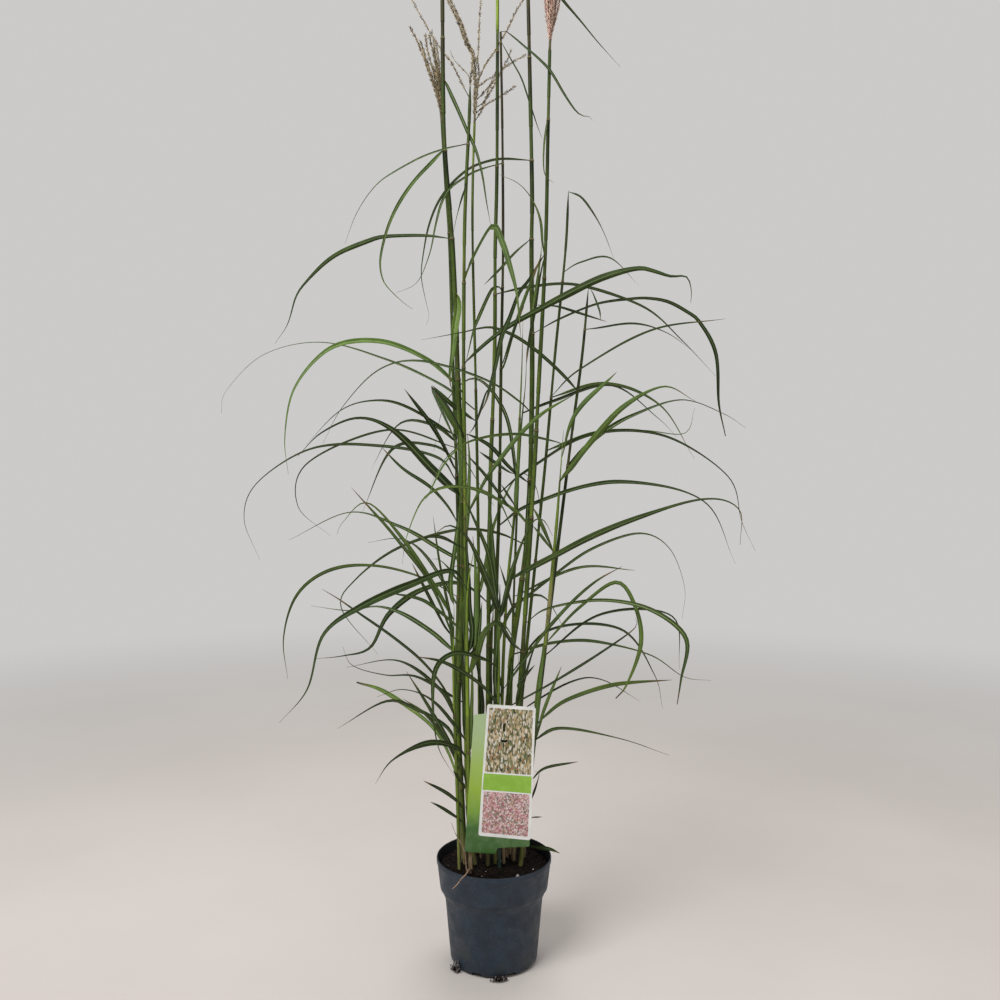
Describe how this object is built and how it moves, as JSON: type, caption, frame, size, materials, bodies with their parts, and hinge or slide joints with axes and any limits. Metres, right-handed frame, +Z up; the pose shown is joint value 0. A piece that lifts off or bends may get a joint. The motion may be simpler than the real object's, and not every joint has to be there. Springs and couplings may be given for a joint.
{
  "type": "potted miscanthus grass clump",
  "caption": "Tall clump of ornamental grass with arching blades and feathery flower heads, in a round plastic nursery pot with a plant label.",
  "frame": {"origin": "centre of the pot's flat base, on the surface that it stands on", "axes": "+Z up along the pot's axis; -Y is the front, which the label faces; +X is to the right seen from the front"},
  "size_m": [0.9528, 0.5455, 1.8549],
  "materials": {
    "pot": "matt dark slate blue plastic, dusty, with faint smudges",
    "soil": "damp near-black peat with fibres and pale crumbs",
    "roots": "dark matted roots and soil",
    "label": null,
    "stake": "dark green-grey plastic",
    "stem": "smooth green to olive cane, brown-purple near the nodes",
    "leaf": "green blade with a pale midrib and a dry tan tip",
    "flower_head": "pinkish-tan spikelets"
  },
  "bodies": {
    "root": {"flower_head_brush": "flower_head", "flower_head_centre_top": "flower_head", "flower_head_left_narrow": "flower_head", "flower_head_left_top": "flower_head", "flower_head_open": "flower_head", "flower_head_right_top": "flower_head", "label_card": "label", "label_stake": "stake", "leaf_front_fold": "leaf", "leaf_left_front": "leaf", "leaf_left_low_1": "leaf", "leaf_left_low_2": "leaf", "leaf_left_low_3": "leaf", "leaf_left_middle_1": "leaf", "leaf_left_middle_2": "leaf", "leaf_left_middle_3": "leaf", "leaf_left_middle_4": "leaf", "leaf_left_middle_5": "leaf", "leaf_left_top_1": "leaf", "leaf_left_top_2": "leaf", "leaf_left_top_3": "leaf", "leaf_left_top_4": "leaf", "leaf_left_upper_1": "leaf", "leaf_left_upper_2": "leaf", "leaf_left_upper_3": "leaf", "leaf_left_upper_4": "leaf", "leaf_left_upper_5": "leaf", "leaf_left_upper_6": "leaf", "leaf_right_low_1": "leaf", "leaf_right_low_2": "leaf", "leaf_right_low_3": "leaf", "leaf_right_middle_1": "leaf", "leaf_right_middle_2": "leaf", "leaf_right_middle_3": "leaf", "leaf_right_middle_4": "leaf", "leaf_right_middle_5": "leaf", "leaf_right_top_1": "leaf", "leaf_right_top_2": "leaf", "leaf_right_top_3": "leaf", "pot": "pot", "root_tuft_front": "roots", "root_tuft_left": "roots", "shoot_bright": "stem", "shoot_centre": "stem", "shoot_front": "stem", "shoot_left": "stem", "soil": "soil", "stem_brown": "stem", "stem_centre": "stem", "stem_left_behind": "stem", "stem_left_second": "stem", "stem_left_tall": "stem", "stem_middle": "stem", "stem_middle_short": "stem", "stem_right_outer": "stem", "stem_right_second": "stem", "stem_right_tall": "stem", "stem_right_thin": "stem", "stem_thin": "stem", "stem_yellow": "stem"}
  },
  "joints": []
}
